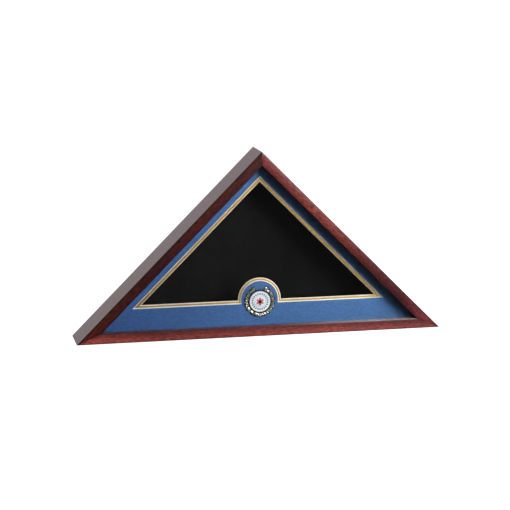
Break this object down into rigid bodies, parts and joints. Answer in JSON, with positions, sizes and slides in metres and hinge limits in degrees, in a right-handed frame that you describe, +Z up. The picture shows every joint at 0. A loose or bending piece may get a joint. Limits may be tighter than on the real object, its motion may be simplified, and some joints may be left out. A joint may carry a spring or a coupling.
{
  "type": "flag display case",
  "caption": "Triangular wooden shadow box with mitred rails, glass, double mat, medallion and a back panel held by turn buttons, for a folded flag.",
  "frame": {"origin": "on the ground plane under the middle of the case", "axes": "+X along the long side, +Z up towards the apex, the glass faces -Y and the back panel faces +Y"},
  "size_m": [0.6592, 0.079, 0.3296],
  "materials": {
    "stained_wood": "satin lacquer over red mahogany stain",
    "plain_wood": "bare softwood",
    "glass": "clear float glass",
    "black_plastic": "matte",
    "blue_mat": "suede-faced mat board, pale bevel core",
    "gold_mat": "metallic gold paper on mat board, cream bevel core",
    "foam": "adhesive foam",
    "cast_metal": "antiqued, polished high spots",
    "white_enamel": "gloss",
    "red_enamel": "gloss",
    "blue_enamel": "gloss",
    "brass": "satin",
    "steel": "bright",
    "rubber": "matte",
    "fibreboard": "hardboard, smooth brown",
    "black_velvet": "short-pile velvet"
  },
  "bodies": {
    "case": {"left_side_rail": "stained_wood", "right_side_rail": "stained_wood", "bottom_rail": "stained_wood", "left_corner_v_nail": "steel", "right_corner_v_nail": "steel", "apex_v_nail": "steel", "glass_pane": "glass", "left_glass_spacer": "black_plastic", "right_glass_spacer": "black_plastic", "bottom_glass_spacer": "black_plastic", "top_mat": "blue_mat", "under_mat": "gold_mat", "medallion_pad": "foam", "medallion_wreath": "cast_metal", "medallion_enamel_ring": "white_enamel", "medallion_roundel": "white_enamel", "medallion_rosette": "red_enamel", "medallion_boss": "blue_enamel", "left_mat_retainer": "plain_wood", "right_mat_retainer": "plain_wood", "bottom_mat_retainer": "plain_wood", "left_back_stop": "plain_wood", "right_back_stop": "plain_wood", "bottom_back_stop": "plain_wood", "apex_block": "plain_wood", "sawtooth_hanger": "brass", "left_hanger_nail": "steel", "right_hanger_nail": "steel", "left_wall_bumper": "rubber", "right_wall_bumper": "rubber", "bottom_left_button_screw": "brass", "bottom_right_button_screw": "brass", "left_upper_button_screw": "brass", "left_lower_button_screw": "brass", "right_upper_button_screw": "brass", "right_lower_button_screw": "brass"},
    "back_panel": {"back_panel": "fibreboard", "panel_lining": "black_velvet"},
    "bottom_left_turn_button": {"bottom_left_turn_button": "brass"},
    "bottom_right_turn_button": {"bottom_right_turn_button": "brass"},
    "left_upper_turn_button": {"left_upper_turn_button": "brass"},
    "left_lower_turn_button": {"left_lower_turn_button": "brass"},
    "right_upper_turn_button": {"right_upper_turn_button": "brass"},
    "right_lower_turn_button": {"right_lower_turn_button": "brass"}
  },
  "joints": [
    {"name": "back_panel_slide", "type": "slide", "parent": "case", "child": "back_panel", "axis": [0, 1, 0], "range_m": [0, 0.15]},
    {"name": "bottom_left_turn_button_pivot", "type": "hinge", "parent": "case", "child": "bottom_left_turn_button", "pos_m": [-0.1716, 0.03655, 0.006], "axis": [0, -1, 0], "continuous": true},
    {"name": "bottom_right_turn_button_pivot", "type": "hinge", "parent": "case", "child": "bottom_right_turn_button", "pos_m": [0.1716, 0.03655, 0.006], "axis": [0, 1, 0], "continuous": true},
    {"name": "left_upper_turn_button_pivot", "type": "hinge", "parent": "case", "child": "left_upper_turn_button", "pos_m": [-0.10136, 0.03655, 0.22016], "axis": [0, -1, 0], "continuous": true},
    {"name": "left_lower_turn_button_pivot", "type": "hinge", "parent": "case", "child": "left_lower_turn_button", "pos_m": [-0.22016, 0.03655, 0.10136], "axis": [0, -1, 0], "continuous": true},
    {"name": "right_upper_turn_button_pivot", "type": "hinge", "parent": "case", "child": "right_upper_turn_button", "pos_m": [0.10136, 0.03655, 0.22016], "axis": [0, 1, 0], "continuous": true},
    {"name": "right_lower_turn_button_pivot", "type": "hinge", "parent": "case", "child": "right_lower_turn_button", "pos_m": [0.22016, 0.03655, 0.10136], "axis": [0, 1, 0], "continuous": true}
  ]
}
